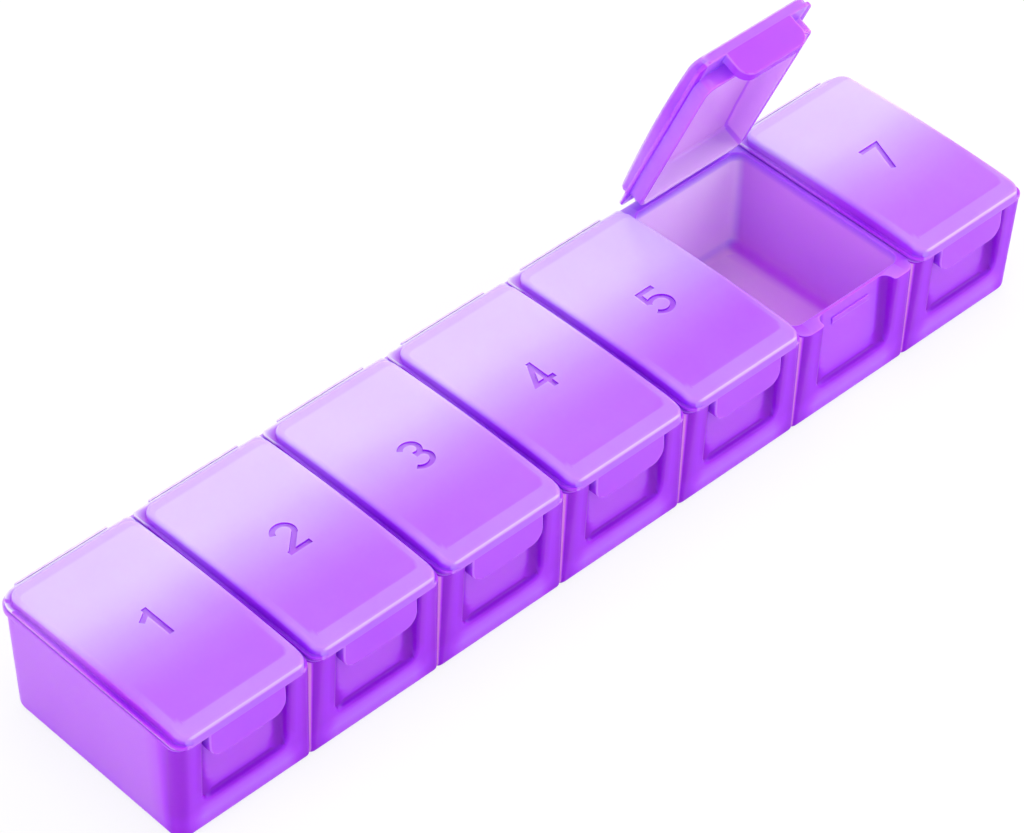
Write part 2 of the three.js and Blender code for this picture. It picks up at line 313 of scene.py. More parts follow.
def front_columns(day, z, easing):
    """Points along the foot of one front face, between its corner arcs."""
    left, right, radii, _ = cell_sides(day, z, easing)
    inner = RECESS_HALF - RECESS_CORNER
    middle = middle_of(day)
    start, end = left + radii[0], right - radii[1]
    xs = [mix(start, middle - inner, i / HALF_CORNER) for i in range(HALF_CORNER)]
    xs += [mix(middle - inner, middle + inner, share) for share in SILL_COLUMNS]
    xs += [mix(middle + inner, end, i / HALF_CORNER) for i in range(1, HALF_CORNER + 1)]
    return [(x, front_plane(z) + easing) for x in xs]


def side_run(z, easing, ledge=None):
    """The outside at one height from the front right corner round the back to the front left one.
    ledge is how far the ledge's edge is set in there, or None below the ledge."""
    front = front_plane(z) + easing
    back = TRAY_DEPTH - BACK_DRAFT * below_share(z) - easing
    far = back if ledge is None else LEDGE_BACK - ledge
    left, right, radii, corners = cell_sides(DAYS, z, easing)
    points = arc(right - radii[1], front + radii[1], radii[1], 270)
    points += [(right, y) for y in END_COLUMNS]
    edge, bend = right, corners[1]
    if ledge is not None:
        edge, bend = DAYS * PITCH + END_MARGIN - ledge, LEDGE_CORNER
    points += arc(edge - bend, far - bend, bend, 0)
    for day in range(DAYS, 0, -1):
        left, right, radii, corners = cell_sides(day, z, easing)
        groove = []
        if day < DAYS:
            groove += arc(right - corners[1], back - corners[1], corners[1], 0)
        if day > 1:
            groove += arc(left + corners[0], back - corners[0], corners[0], 90)
        points += groove if ledge is None else [(x, far) for x, _ in groove]
    edge, bend = left, corners[0]
    if ledge is not None:
        edge, bend = -END_MARGIN + ledge, LEDGE_CORNER
    points += arc(edge + bend, far - bend, bend, 90)
    points += [(left, y) for y in reversed(END_COLUMNS)]
    points += arc(left + radii[0], front + radii[0], radii[0], 180)
    return points


def groove_run(day, z, easing):
    """The outside at one height in the groove between a day and the next."""
    x = day * PITCH
    radius = groove_radius(z)
    y = front_plane(z) + easing + radius
    return arc(x - radius, y, radius, 270) + arc(x + radius, y, radius, 180)


def lifted(points, z):
    return [Vector((x, y, z)) for x, y in points]


TOP = RIM - RIM_EASE
CORNER_LEVEL = RECESS_SILL + RECESS_CORNER
LEDGE_EASING = [(LEDGE_LOW + RIM_EASE * rise, RIM_EASE * (1 - sine)) for sine, rise in EASING]


def recess_levels():
    """Heights of the front's straight rows, from the rim down to the recess's corners, as shares.
    The ledge's own rows are among them, so that the ends of the tray meet its back row for row."""
    heights = [TOP, mix(TOP, LEDGE_LOW, BELOW_RIM_ROW)]
    heights += [z for z, _ in reversed(LEDGE_EASING)]
    heights += [mix(LEDGE_LOW, CORNER_LEVEL, i / SIDE_STEPS) for i in range(1, SIDE_STEPS + 1)]
    return [(z - CORNER_LEVEL) / (TOP - CORNER_LEVEL) for z in heights]


def face_heights():
    """Heights of the rows beside a recess, from the rim's easing down to the foot's rounding."""
    straight = [mix(CORNER_LEVEL, TOP, share) for share in recess_levels()]
    low = [mix(CORNER_LEVEL, FOOT_RADIUS, i / HALF_CORNER) for i in range(1, HALF_CORNER + 1)]
    return straight + low


def recess_ring(day, inset, radius, eased=0, sunk=0):
    """One line round the recess, open at the top: down its left side, along the sill and up. It
    lies eased behind the front plane, and from there a share, sunk, of the way to the floor."""
    middle = middle_of(day)
    half = RECESS_HALF - inset
    low = RECESS_SILL + inset
    left, right = middle - half + radius, middle + half - radius
    up = [mix(low + radius, TOP, share) for share in recess_levels()]
    points = [(middle - half, z) for z in up]
    points += arc(left, low + radius, radius, 180)[1:]
    points += [(mix(left, right, share), low) for share in SILL_COLUMNS[1:]]
    points += arc(right, low + radius, radius, 270)[1:]
    points += [(middle + half, z) for z in reversed(up[:-1])]
    return [Vector((x, mix(front_plane(z) + eased, RECESS_DEPTH, sunk), z)) for x, z in points]


def outer_ring(day):
    """The edge of one front face, with as many points as the lines round the recess."""
    left, right = [], []
    for z in face_heights():
        low, high, radii, _ = cell_sides(day, z, 0)
        left.append(Vector((low + radii[0], front_plane(z), z)))
        right.insert(0, Vector((high - radii[1], front_plane(z), z)))
    foot = lifted(front_columns(day, FOOT_RADIUS, 0), FOOT_RADIUS)
    return left + foot[1:-1] + right


def recess_rings(day):
    """Lines from the edge of the front face over the recess's lip, down its fillet to its floor."""
    outer = outer_ring(day)
    margin = recess_ring(day, -RECESS_MARGIN, RECESS_CORNER + RECESS_MARGIN)
    lip = recess_ring(day, -RECESS_EASE, RECESS_CORNER + RECESS_EASE)
    rings = [outer, [a.lerp(b, 0.5) for a, b in zip(outer, margin)], margin, lip]
    for sine, rise in EASING[1:]:
        inset = -RECESS_EASE * (1 - sine)
        rings.append(recess_ring(day, inset, RECESS_CORNER - inset, RECESS_EASE * rise))
    for sine, rise in FILLET[1:]:
        radius = mix(RECESS_CORNER, RECESS_FLOOR_CORNER, sine)
        rings.append(recess_ring(day, RECESS_FILLET * rise, radius, RECESS_EASE, sine))
    for inset in RECESS_FLOOR_LINES:
        radius = RECESS_FLOOR_CORNER - (inset - RECESS_FILLET) / 2
        rings.append(recess_ring(day, inset, radius, RECESS_EASE, 1))
    return rings


def well_ring(day, inset, z):
    middle, half = middle_of(day), WELL_HALF - inset
    front, back = FRONT_WALL + inset, WELL_BACK - inset
    return rounded(middle - half, middle + half, front, back, [WELL_CORNER] * 4, z)


def rounded(left, right, front, back, radii, z, columns=(0, 1), rows=(0, 1)):
    """A rounded rectangle, anticlockwise from its front left corner. z is a height or a rule of x
    and y. columns and rows are the shares at which the straight sides have points."""
    a, b, c, d = radii
    points = arc(left + a, front + a, a, 180)
    points += [(mix(left + a, right - b, share), front) for share in columns[1:-1]]
    points += arc(right - b, front + b, b, 270)
    points += [(right, mix(front + b, back - c, share)) for share in rows[1:-1]]
    points += arc(right - c, back - c, c, 0)
    points += [(mix(right - c, left + d, share), back) for share in columns[1:-1]]
    points += arc(left + d, back - d, d, 90)
    points += [(left, mix(back - d, front + a, share)) for share in rows[1:-1]]
    height = z if callable(z) else lambda x, y: z
    return [Vector((x, y, height(x, y))) for x, y in points]


def inset_loop(points, distance):
    """A closed flat line moved to its left by a distance, its corners mitred."""
    moved = []
    count = len(points)
    for i, point in enumerate(points):
        into = (point - points[i - 1]).to_2d()
        out = (points[(i + 1) % count] - point).to_2d()
        into, out = into.normalized(), out.normalized()
        along = (into + out).normalized()
        lean = max(MITRE_LIMIT, along.dot(into))
        moved.append(point + Vector((-along.y, along.x, 0)) * (distance / lean))
    return moved


def without_repeats(points):
    return [p for i, p in enumerate(points) if (p - points[i - 1]).length > SAME_PLACE]


def tray_shell():
    shell = Shell()
    # The foot's rounding and the underside
    rings = []
    for sine, rise in quarter(FOOT_STEPS):
        z = FOOT_RADIUS * rise
        easing = FOOT_RADIUS * (1 - sine)
        points = []
        for day in range(1, DAYS + 1):
            points += front_columns(day, z, easing)
            if day < DAYS:
                points += groove_run(day, z, easing)[1:-1]
        points += side_run(z, easing)[1:-1]
        rings.append(lifted(points, z))
    shell.loft(rings)
    shell.fill([without_repeats(rings[0])])

    # Grooves, ends and back, up to the rim's easing, with the ledge standing out behind
    heights = list(reversed(face_heights()))
    for day in range(1, DAYS):
        shell.loft([lifted(groove_run(day, z, 0), z) for z in heights], closed=False)
    under, over = LEDGE_EASING[0][0] - MERGE, LEDGE_EASING[-1][0] + MERGE
    runs = [lifted(side_run(z, 0), z) for z in heights if z < under]
    runs.append(lifted(side_run(LEDGE_LOW, 0), LEDGE_LOW))
    runs += [lifted(side_run(z, 0, inset), z) for z, inset in LEDGE_EASING]
    runs += [lifted(side_run(z, 0, 0), z) for z in heights if z > over]
    shell.loft(runs, closed=False)

    # Front faces with their recesses, and the line that all of it leaves below the rim
    brim = []
    for day in range(1, DAYS + 1):
        rings = recess_rings(day)
        rows = shell.loft(rings, closed=False)
        shell.face(rows[-1])
        brim += [ring[0] for ring in rings] + [ring[-1] for ring in reversed(rings)]
        if day < DAYS:
            brim += lifted(groove_run(day, TOP, 0), TOP)[1:-1]
    brim += lifted(side_run(TOP, 0, 0), TOP)[1:-1]
    brim = without_repeats(brim)

    # The rim's easing, its flat top, and the wells
    eased = []
    for sine, rise in EASING:
        moved = inset_loop(brim, RIM_EASE * rise)
        eased.append([Vector((p.x, p.y, TOP + RIM_EASE * sine)) for p in moved])
    shell.loft(eased)
    mouths = []
    for day in range(1, DAYS + 1):
        rings = [
            well_ring(day, -WELL_EASE * (1 - sine), RIM - WELL_EASE * rise) for sine, rise in EASING
        ]
        rings += [
            well_ring(day, WELL_DRAFT * share, mix(RIM, FLOOR + WELL_FLOOR_RADIUS, share))
            for share in WELL_ROWS
        ]
        for sine, rise in FILLET:
            inset = WELL_DRAFT + WELL_FLOOR_RADIUS * rise
            rings.append(well_ring(day, inset, FLOOR + WELL_FLOOR_RADIUS * (1 - sine)))
        rows = shell.loft(rings)
        shell.face(rows[-1])
        mouths.append(rings[0])
    shell.fill([eased[-1]] + mouths)
    return shell


# Lids


def roof(y):
    """Height of the lid's top: a shallow slope at the front that eases into a long low arch."""
    start = LID_FRONT + DOME_BEVEL
    share = (y - start) / (DOME_BACK - start)
    arch = mix(DOME_SHOULDER_HEIGHT, DOME_BACK_HEIGHT, share) + 4 * DOME_BULGE * share * (1 - share)
    slope = mix(DOME_FRONT_HEIGHT, DOME_SHOULDER_HEIGHT, (y - LID_FRONT) / DOME_BEVEL)
    apart = math.sqrt((arch - slope) ** 2 + ROOF_BEND**2)
    return FLANGE_TOP + (arch + slope - apart) / 2 + ROOF_BEND / 4


def dome_ring(inset_front, inset_side, inset_back, radius, drops, columns, rows):
    """A line round the dome, lower than the roof by a drop for its front, its sides and back."""
    left, right = -DOME_HALF + inset_side, DOME_HALF - inset_side
    front, back = LID_FRONT + inset_front, DOME_BACK - inset_back

    def height(x, y):
        side = max(0, abs(x) - (right - radius)) / radius if radius else 0
        fore = max(0, front + radius - y) / radius if radius else 0
        aft = max(0, y - (back - radius)) / radius if radius else 0
        total = side + fore + aft
        if total < TINY:
            return roof(y)
        return roof(y) - (drops[0] * fore + drops[1] * side + drops[2] * aft) / total

    return rounded(left, right, front, back, [radius] * 4, height, columns, rows)


def lid_shell(day):
    shell = Shell()
    inner_half = DOME_HALF - DOME_CORNER
    inner_front, inner_back = LID_FRONT + DOME_CORNER, DOME_BACK - DOME_CORNER
    across = round(2 * inner_half / GRID_STEP)
    along = round((inner_back - inner_front) / GRID_STEP)
    columns = [i / across for i in range(across + 1)]
    rows = [i / along for i in range(along + 1)]
    slope_end = LID_FRONT + DOME_BEVEL
    crisp = [slope_end + offset for offset in SLOPE_END_ROWS] + [inner_back - DOME_BACK_ROW]
    rows = sorted(rows + [(y - inner_front) / (inner_back - inner_front) for y in crisp])

    def grid(half, front, back, height):
        lines = []
        for v in rows:
            y = mix(front, back, v)
            lines.append([Vector((mix(-half, half, u), y, height(y))) for u in columns])
        shell.loft(lines, closed=False)

    # Dome: the middle of the roof, its rounded edges and its wall
    grid(inner_half, inner_front, inner_back, roof)
    rings = [
        dome_ring(inset, inset, inset, DOME_CORNER - inset, (0, 0, 0), columns, rows)
        for inset in DOME_LINES
    ]
    rounds = (DOME_FRONT_ROUND, DOME_SIDE_ROUND, DOME_BACK_ROUND)
    for sine, rise in FILLET:
        insets = [size * (1 - sine) for size in rounds]
        drops = [size * rise for size in rounds]
        rings.append(dome_ring(*insets, DOME_CORNER - insets[1], drops, columns, rows))

    # Wall down to the flange, with a small foot fillet at the sides and back
    def even_ring(half, front, back, radii, z):
        return rounded(-half, half, front, back, radii, z, columns, rows)

    for sine, rise in EASING:
        out = DOME_FOOT_ROUND * rise
        z = FLANGE_TOP + DOME_FOOT_ROUND * (1 - sine)
        radii = [DOME_CORNER] * 2 + [DOME_CORNER + out] * 2
        rings.append(even_ring(DOME_HALF + out, LID_FRONT, DOME_BACK + out, radii, z))
    first, last = day == 1, day == DAYS
    back_corners = [LEDGE_CORNER if end else FLANGE_CORNER for end in (last, first)]
    corners = [DOME_CORNER, DOME_CORNER, *back_corners]

    def flange_ring(inset, front_inset, z):
        left = inset - LID_HALF - END_MARGIN * first
        right = LID_HALF + END_MARGIN * last - inset
        front, back = LID_FRONT + front_inset, FLANGE_BACK - inset
        radii = [radius - inset for radius in corners]
        return rounded(left, right, front, back, radii, z, columns, rows)

    for sine, rise in EASING:
        rings.append(flange_ring(FLANGE_EASE * (1 - sine), 0, FLANGE_TOP - FLANGE_EASE * rise))
    for sine, rise in EASING:
        inset = FLANGE_EASE * rise
        rings.append(flange_ring(inset, inset, FLANGE_LOW + FLANGE_EASE * (1 - sine)))

    # Skirt, and the hollow under the roof
    def skirt_ring(inset, z):
        front, back = SKIRT_FRONT + inset, SKIRT_BACK - inset
        return even_ring(SKIRT_HALF - inset, front, back, [SKIRT_CORNER - inset] * 4, z)

    for sine, rise in EASING:
        rings.append(skirt_ring(-FLANGE_EASE * (1 - sine), FLANGE_LOW - FLANGE_EASE * rise))
    for sine, rise in EASING:
        rings.append(skirt_ring(SKIRT_EASE * rise, SKIRT_BOTTOM + SKIRT_EASE * (1 - sine)))
    for sine, rise in EASING:
        inset = SKIRT_THICK - SKIRT_EASE * (1 - sine)
        rings.append(skirt_ring(inset, SKIRT_BOTTOM + SKIRT_EASE * rise))
    for sine, rise in FILLET:
        inset = SKIRT_THICK + ROOF_FILLET * rise
        drop = LID_WALL + ROOF_FILLET * (1 - sine)
        rings.append(skirt_ring(inset, lambda x, y, d=drop: roof(y) - d))
    rings.append(skirt_ring(SKIRT_CORNER, lambda x, y: roof(y) - LID_WALL))
    shell.loft(rings)
    front, back = SKIRT_FRONT + SKIRT_CORNER, SKIRT_BACK - SKIRT_CORNER
    grid(SKIRT_HALF - SKIRT_CORNER, front, back, lambda y: roof(y) - LID_WALL)
    return shell


def tab_shell():
    """The thumb tab as a thick rounded plate, its top buried in the front of the lid."""

    def ring(inset, y):
        half = TAB_HALF - inset
        radius = TAB_CORNER - inset
        low = TAB_BOTTOM + inset
        points = [(-half, TAB_ROOT)]
        points += arc(-half + radius, low + radius, radius, 180)
        points += arc(half - radius, low + radius, radius, 270)
        points += [(half, TAB_ROOT)]
        return [Vector((x, y, z)) for x, z in points]

    front = LID_FRONT + TAB_SET_IN
    back = LID_FRONT + TAB_THICK
    rings = [ring(TAB_EASE * (1 - sine), front + TAB_EASE * rise) for sine, rise in EASING]
    rings += [ring(TAB_EASE * rise, back - TAB_EASE * (1 - sine)) for sine, rise in EASING]
    return Shell().plug(rings)


def bead_shell():
    """The snap bead on the inner face of the tab: a rod with rounded ends."""
    turns = [math.tau / BEAD_SIDES * i for i in range(BEAD_SIDES)]
    rings = []
    for way in (-1, 1):
        for sine, rise in EASING[:-1][::way]:
            x = way * (BEAD_HALF + BEAD_RADIUS * (sine - 1))
            radius = BEAD_RADIUS * (1 - rise)
            places = [(BEAD_Y + radius * math.cos(t), BEAD_Z + radius * math.sin(t)) for t in turns]
            rings.append([Vector((x, y, z)) for y, z in places])
    return Shell().plug(rings)


def arc_shares(x, y, across, up, start, end):
    """A stretch of an ellipse round a middle, from a start angle to an end angle in degrees."""
    turns = [math.radians(mix(start, end, i / CURVE_STEPS)) for i in range(CURVE_STEPS + 1)]
    return [(x + across * math.cos(turn), y + up * math.sin(turn)) for turn in turns]


# Centre lines of each numeral's strokes, in shares of its width from the middle and of its height
NUMERALS = {
    1: [[(-0.44, 0.7), (0.04, 0.92)], [(0.1, 1.09), (0.1, -0.09)]],
    2: [arc_shares(0, 0.71, 0.46, 0.29, 165, -32) + [(-0.48, 0)], [(-0.6, 0), (0.52, 0)]],
    3: [
        arc_shares(-0.02, 0.75, 0.42, 0.25, 150, -95),
        arc_shares(-0.02, 0.27, 0.48, 0.27, 95, -150),
    ],
    4: [[(0.16, 1.09), (0.16, -0.09)], [(0.12, 0.96), (-0.46, 0.26), (0.54, 0.26)]],
    5: [[(0.44, 1), (-0.38, 1), (-0.42, 0.52)], arc_shares(-0.04, 0.32, 0.5, 0.32, 145, -150)],
    6: [
        arc_shares(0, 0.3, 0.48, 0.3, -10, 190),
        arc_shares(0, 0.3, 0.48, 0.3, 170, 370),
        [(0.2, 1.05), (-0.4, 0.4)],
    ],
    7: [[(-0.52, 1), (0.46, 1), (-0.14, -0.09)]],
}


def stroke_outline(line, half):
    """A centre line widened by half a stroke on each side, its corners mitred."""
    sides = ([], [])
    for i, point in enumerate(line):
        into = (point - line[max(i - 1, 0)]).normalized()
        out = (line[min(i + 1, len(line) - 1)] - point).normalized()
        along = (into + out).normalized()
        across = Vector((-along.y, along.x)) * (half / max(along.dot(into), along.dot(out)))
        sides[0].append(point + across)
        sides[1].insert(0, point - across)
    return sides[0] + sides[1]


def stroke_shell(shares):
    """A cutter for one stroke of a numeral, a little narrower at its floor than at its top."""
    rise = NUMERAL_HEIGHT - NUMERAL_STROKE
    line = [Vector((x * NUMERAL_WIDTH, NUMERAL_MIDDLE + (y - 0.5) * rise)) for x, y in shares]
    crown = roof(NUMERAL_MIDDLE)
    rings = []
    for above, spread in ((-NUMERAL_DEPTH, -NUMERAL_DRAFT), (NUMERAL_OVER, NUMERAL_DRAFT)):
        outline = stroke_outline(line, NUMERAL_STROKE / 2 + spread)
        rings.append([Vector((p.x, p.y, crown + above)) for p in outline])
    return Shell().plug(rings)


def combine(obj, other, operation):
    """Joins another closed piece to this one, or cuts this one with it."""
    boolean = obj.modifiers.new("Combine", "BOOLEAN")
    boolean.operation = operation
    boolean.solver = "EXACT"
    boolean.object = other
    settle(obj)
    bpy.data.objects.remove(other)


def settle(obj):
    """Replaces a piece's mesh by the result of its modifiers."""
    graph = bpy.context.evaluated_depsgraph_get()
    graph.update()
    mesh = bpy.data.meshes.new_from_object(obj.evaluated_get(graph))
    obj.modifiers.clear()
    old = obj.data
    obj.data = mesh
    bpy.data.meshes.remove(old)


def smooth(obj):
    """Soft shading with the broad faces kept flat, and sharp lines where faces meet steeply."""
    obj.data.shade_smooth()
    obj.data.set_sharp_from_angle(angle=math.radians(CREASE_ANGLE))
    weighted = obj.modifiers.new("Broad faces first", "WEIGHTED_NORMAL")
    weighted.keep_sharp = True
    weighted.weight = BROAD_WEIGHT
    settle(obj)


def paint(obj, name, rule):
    """A value for each corner of each face, from its place in the drawing and the face's slope."""
    mesh = obj.data
    attribute = mesh.attributes.new(name, "FLOAT", "CORNER")
    values = []
    for face in mesh.polygons:
        values += [rule(*mesh.vertices[i].co, abs(face.normal.z)) for i in face.vertices]
    attribute.data.foreach_set("value", values)


def place(obj, turn=0, across=0):
    """Moves a mesh from the drawing into the model's frame, swung open about its hinge if asked."""
    hinge = Vector((0, HINGE_Y, HINGE_Z))
    swing = Matrix.Translation(hinge) @ Matrix.Rotation(math.radians(-turn), 4, "X")
    swing = swing @ Matrix.Translation(-hinge)
    step = Matrix.Translation(SHIFT + Vector((across, 0, 0)))
    obj.data.transform(Matrix.Scale(MM, 4) @ step @ swing)
    obj.data.update()


# Materials


def linear(code):
    """A colour written as sRGB hex, as linear values with full alpha."""
    parts = [int(code[i : i + 2], 16) / 255 for i in (1, 3, 5)]
    return [c / 12.92 if c <= 0.04045 else ((c + 0.055) / 1.055) ** 2.4 for c in parts] + [1]


def add(tree, kind, inputs=None, **settings):
    """Adds a node; an input is a value, or the socket or node whose output it is linked to."""
    node = tree.nodes.new(kind)
    for name, value in settings.items():
        setattr(node, name, value)
    for name, value in (inputs or {}).items():
        if isinstance(value, bpy.types.Node):
            value = value.outputs[0]
        if isinstance(value, bpy.types.NodeSocket):
            tree.links.new(value, node.inputs[name])
        else:
            node.inputs[name].default_value = value
    return node


def new_material(name):
    material = bpy.data.materials.new(name)
    material.use_nodes = True
    material.node_tree.nodes.clear()
    return material, material.node_tree


def per_feature(size_mm):
    """Noise scale that gives features of a real size."""
    return 1 / (size_mm * MM)


def ramp(tree, factor, stops):
    node = add(tree, "ShaderNodeValToRGB", {"Fac": factor})
    band = node.color_ramp
    while len(band.elements) < len(stops):
        band.elements.new(0.5)
    for element, (place_, color) in zip(band.elements, stops):
        element.position = place_
        element.color = linear(color)
    return node.outputs["Color"]


# Violet from the deepest to the palest tone: the thicker the plastic, the more red and green it
# takes out of the light. Painted light and shade run along the same colours.
TINT = [
    (0.0, "#8200C6"),
    (0.1, "#8E0EDA"),
    (0.2, "#9A20EA"),
    (0.3, "#A838F6"),
    (0.45, "#B05AFF"),
    (0.6, "#B87CFF"),
    (0.75, "#C4A0FF"),
    (0.9, "#D6C4FF"),
    (1.0, "#EAE2FF"),
]
FILM_TINT = [(0.3, "#DCC2FF"), (0.7, "#E9D8FF")]
PLASTIC_IOR = 1.49
# RETURNED_RED is the red of the painted bounce light
RETURNED_RED = 0.25
CLOUD_STRENGTH = 0.05

# Noises: the size of a feature in millimetres, detail and roughness
CLOUDS = (16, 2.0, 0.5)
PATCHES = (9, 3.0, 0.55)
FILM_STREAKS = (1.5, 2.0, 0.5)


def polypropylene(name, roughness, grain_mm, grain_depth, scatter_mm, gloss):
    """Moulded polypropylene tinted in the mass. Its colour follows a painted tone: partly how thick
    the plastic stands behind the surface, partly painted light and shade, with red added as painted
    bounce light. The pigment flows in faint clouds, and the mould leaves a fine skin."""
    material, tree = new_material(name)
    coords = add(tree, "ShaderNodeTexCoord").outputs["Object"]
    # The painted tone mixes the plastic's thickness with painted light and shade; the warmth is
    # painted bounce light.
    thinness_and_light = add(tree, "ShaderNodeAttribute", attribute_name="thinness_and_painted_light").outputs["Fac"]
    bounced = add(tree, "ShaderNodeAttribute", attribute_name="painted_bounce_warmth").outputs["Fac"]
    clouds, patches, skin = (
        add(
            tree,
            "ShaderNodeTexNoise",
            {"Vector": coords, "Scale": per_feature(size), "Detail": detail, "Roughness": rough},
        ).outputs["Fac"]
        for size, detail, rough in (CLOUDS, PATCHES, (grain_mm, 3.0, 0.6))
    )
    swirl = add(
        tree, "ShaderNodeMath", {0: clouds, 1: CLOUD_STRENGTH, 2: thinness_and_light}, operation="MULTIPLY_ADD"
    )
    level = add(tree, "ShaderNodeMath", {0: swirl, 1: CLOUD_STRENGTH / 2}, operation="SUBTRACT")
    red = add(tree, "ShaderNodeCombineColor", {"Red": RETURNED_RED, "Green": 0.0, "Blue": 0.0})
    warm = add(
        tree,
        "ShaderNodeMix",
        {0: bounced, 6: ramp(tree, level, TINT), 7: red},
        data_type="RGBA",
        blend_type="ADD",
        clamp_result=True,
    )
    dull = add(
        tree,
        "ShaderNodeMath",
        {0: patches, 1: roughness[1] - roughness[0], 2: roughness[0]},
        operation="MULTIPLY_ADD",
    )
    bump = add(
        tree, "ShaderNodeBump", {"Height": skin, "Strength": 0.25, "Distance": grain_depth * MM}
    )
    shader = add(
        tree,
        "ShaderNodeBsdfPrincipled",
        {
            "Base Color": warm.outputs[2],
            "Roughness": dull,
            "IOR": PLASTIC_IOR,
            "Specular IOR Level": gloss,
            "Normal": bump,
            "Subsurface Weight": 1.0,
            "Subsurface Radius": (1.0, 0.85, 1.0),
            "Subsurface Scale": scatter_mm * MM,
        },
    )
    add(tree, "ShaderNodeOutputMaterial", {"Surface": shader})
    return material


# Tinted polypropylene from a satin mould: a deep violet with a soft glow in its thin walls, partly
# light scattered in them and partly painted light
TRAY_PP = polypropylene(
    "satin_moulded_polypropylene",
    roughness=(0.32, 0.36),
    grain_mm=0.4,
    grain_depth=0.006,
    scatter_mm=1.5,
    gloss=0.22,
)

# The same plastic from a polished mould: the domes are thinner, so they look paler and glossier,
# and a painted sheen makes them paler still towards the back
LID_PP = polypropylene(
    "polished_moulded_polypropylene",
    roughness=(0.24, 0.28),
    grain_mm=0.5,
    grain_depth=0.004,
    scatter_mm=2.0,
    gloss=0.42,
)


def film_material():
    """The same plastic as thin as paper: it takes hardly any colour, and flexing has whitened it
    in streaks."""
    material, tree = new_material("flex_whitened_polypropylene_film")
    coords = add(tree, "ShaderNodeTexCoord").outputs["Object"]
    size, detail, rough = FILM_STREAKS
    streaks = add(
        tree,
        "ShaderNodeTexNoise",
        {"Vector": coords, "Scale": per_feature(size), "Detail": detail, "Roughness": rough},
    )
    shader = add(
        tree,
        "ShaderNodeBsdfPrincipled",
        {
            "Base Color": ramp(tree, streaks.outputs["Fac"], FILM_TINT),
            "Roughness": 0.4,
            "IOR": PLASTIC_IOR,
            "Specular IOR Level": 0.3,
            "Subsurface Weight": 0.5,
            "Subsurface Radius": (1.0, 1.0, 1.0),
            "Subsurface Scale": 0.2 * MM,
        },
    )
    add(tree, "ShaderNodeOutputMaterial", {"Surface": shader})
    return material


FILM = film_material()

# Tones painted on the pieces, for the plastic's thickness and as painted light and shade
# Thinness and painted light run from 0, the deepest violet, to 1, the palest. Warmth, a share of
# RETURNED_RED, is painted bounce light.
# A fade has the tone before its first place, the tone after its second, and the two places.
# A run has just the two places. Places are millimetres.
NEAR = 0.1
TOUCH = 0.01
STEEP = 0.5

# The tab's edge tone is a painted highlight
TAB_TONE, TAB_EDGE_HIGHLIGHT, TAB_CLEAR = 0.33, 0.5, 0.5
# The hollow's wall and roof are painted pale as painted light, its fillet deeper as painted shade
HOLLOW_WALL_LIGHT, HOLLOW_FILLET_SHADE, HOLLOW_ROOF_LIGHT = 0.86, 0.68, 0.88
SKIRT_TONE = 0.5
# Flange side edges between lids are painted deeper as painted shade; the outer ends at the tray's
# ends paler as a painted highlight
FLANGE_EDGE_SHADE, FLANGE_END_HIGHLIGHT, FLANGE_CORNER_TONE = 0.4, 0.72, 0.95
FLANGE_CORNER_LENGTH = 3
# The dome's fade is a painted sheen, paler towards the back
DOME_SHEEN_FADE = (0.48, 0.84, 8, 38)
# Painted shade on the walls and floor of the engraved number
NUMERAL_WALL_SHADE, NUMERAL_FLOOR_SHADE = 0.5, 0.17
NUMERAL_FLOOR_SUNK = 0.15
# The band's tone is painted light on the lid's front slope
BAND_LIGHT, BAND_INSET, BAND_CORNER = 0.12, 1.9, 1.5
BAND_EDGE_RUN, BAND_RUN = (-0.1, 0.2), (18, 4)
BAND_START_RUN = (LID_FRONT, LID_FRONT + 0.3)
# The glint is a painted highlight on the lid's front edge
GLINT_TONE = 0.2
GLINT_RUN, GLINT_SUNK_RUN = (LID_FRONT + 0.6, LID_FRONT + 0.4), (0.4, 0.2)
# The tail's tone is painted shade along the dome's back edge
TAIL_SHADE, TAIL_INSET, TAIL_LENGTH = -0.06, 0.9, 2.6
TAIL_EDGE_RUN, TAIL_RUN = (-0.1, 0.3), (43, 46)
# The dome wall's tone is painted shade on the dome's walls, in the gaps between lids
DOME_WALL_SHADE, DOME_WALL_RUN = -0.32, (0.2, 1.3)

WELL_BACK_RUN = (WELL_BACK - WELL_CORNER, WELL_BACK - 0.5)
# The wells are painted pale as painted light, palest at the back; their floors take painted shade
# at the sides
WELL_WALL_LIGHT_FADE = (0.7, 1, *WELL_BACK_RUN)
WELL_FLOOR_LIGHT_FADE = (0.86, 0.94, 10, 40)
WELL_SIDE_SHADE, WELL_SIDE_RUN = 0.5, (WELL_HALF - 4, WELL_HALF - 1.5)
BRIM_TONE, BRIM_RUN = 0.45, (RIM - 0.8, RIM - 0.1)
WELL_RISE_RUN = (1.6, 3.2)
LEDGE_TONE = 0.75
RIM_TONE = 0.5
BACK_FADE = (0.45, 0.6, 3, 22)
BACK_DEPTH = 1
END_FADE, END_FOOT_FADE = (0.34, 0.52, 3, 9), (-0.08, 0, 0, 3)
FRONT_DEPTH = 2.9
RECESS_TONE = 0.42
# The recess's line tones are painted shade in its fillets, deepest at its sides
RECESS_FILLET_SHADES = (0.3, 0.03)
RECESS_LINE_STARTS, RECESS_LINE_ENDS = (0.4, 1.2), (1.6, 3.4)
RECESS_SIDE_RUN = (RECESS_HALF - 4, RECESS_HALF - 1)
RECESS_LIP = 0.4
# Ribs deepen towards the grooves, for the thicker plastic there and as painted shade
RIB_FADE = (0.06, 0.22, 1, 3.5)
SILL_TONE, SILL_OVER_RIB, SILL_RUN = 0.52, 0.06, (3, 6)
SILL_RISE_RUN = (RECESS_SILL - 3, RECESS_SILL)
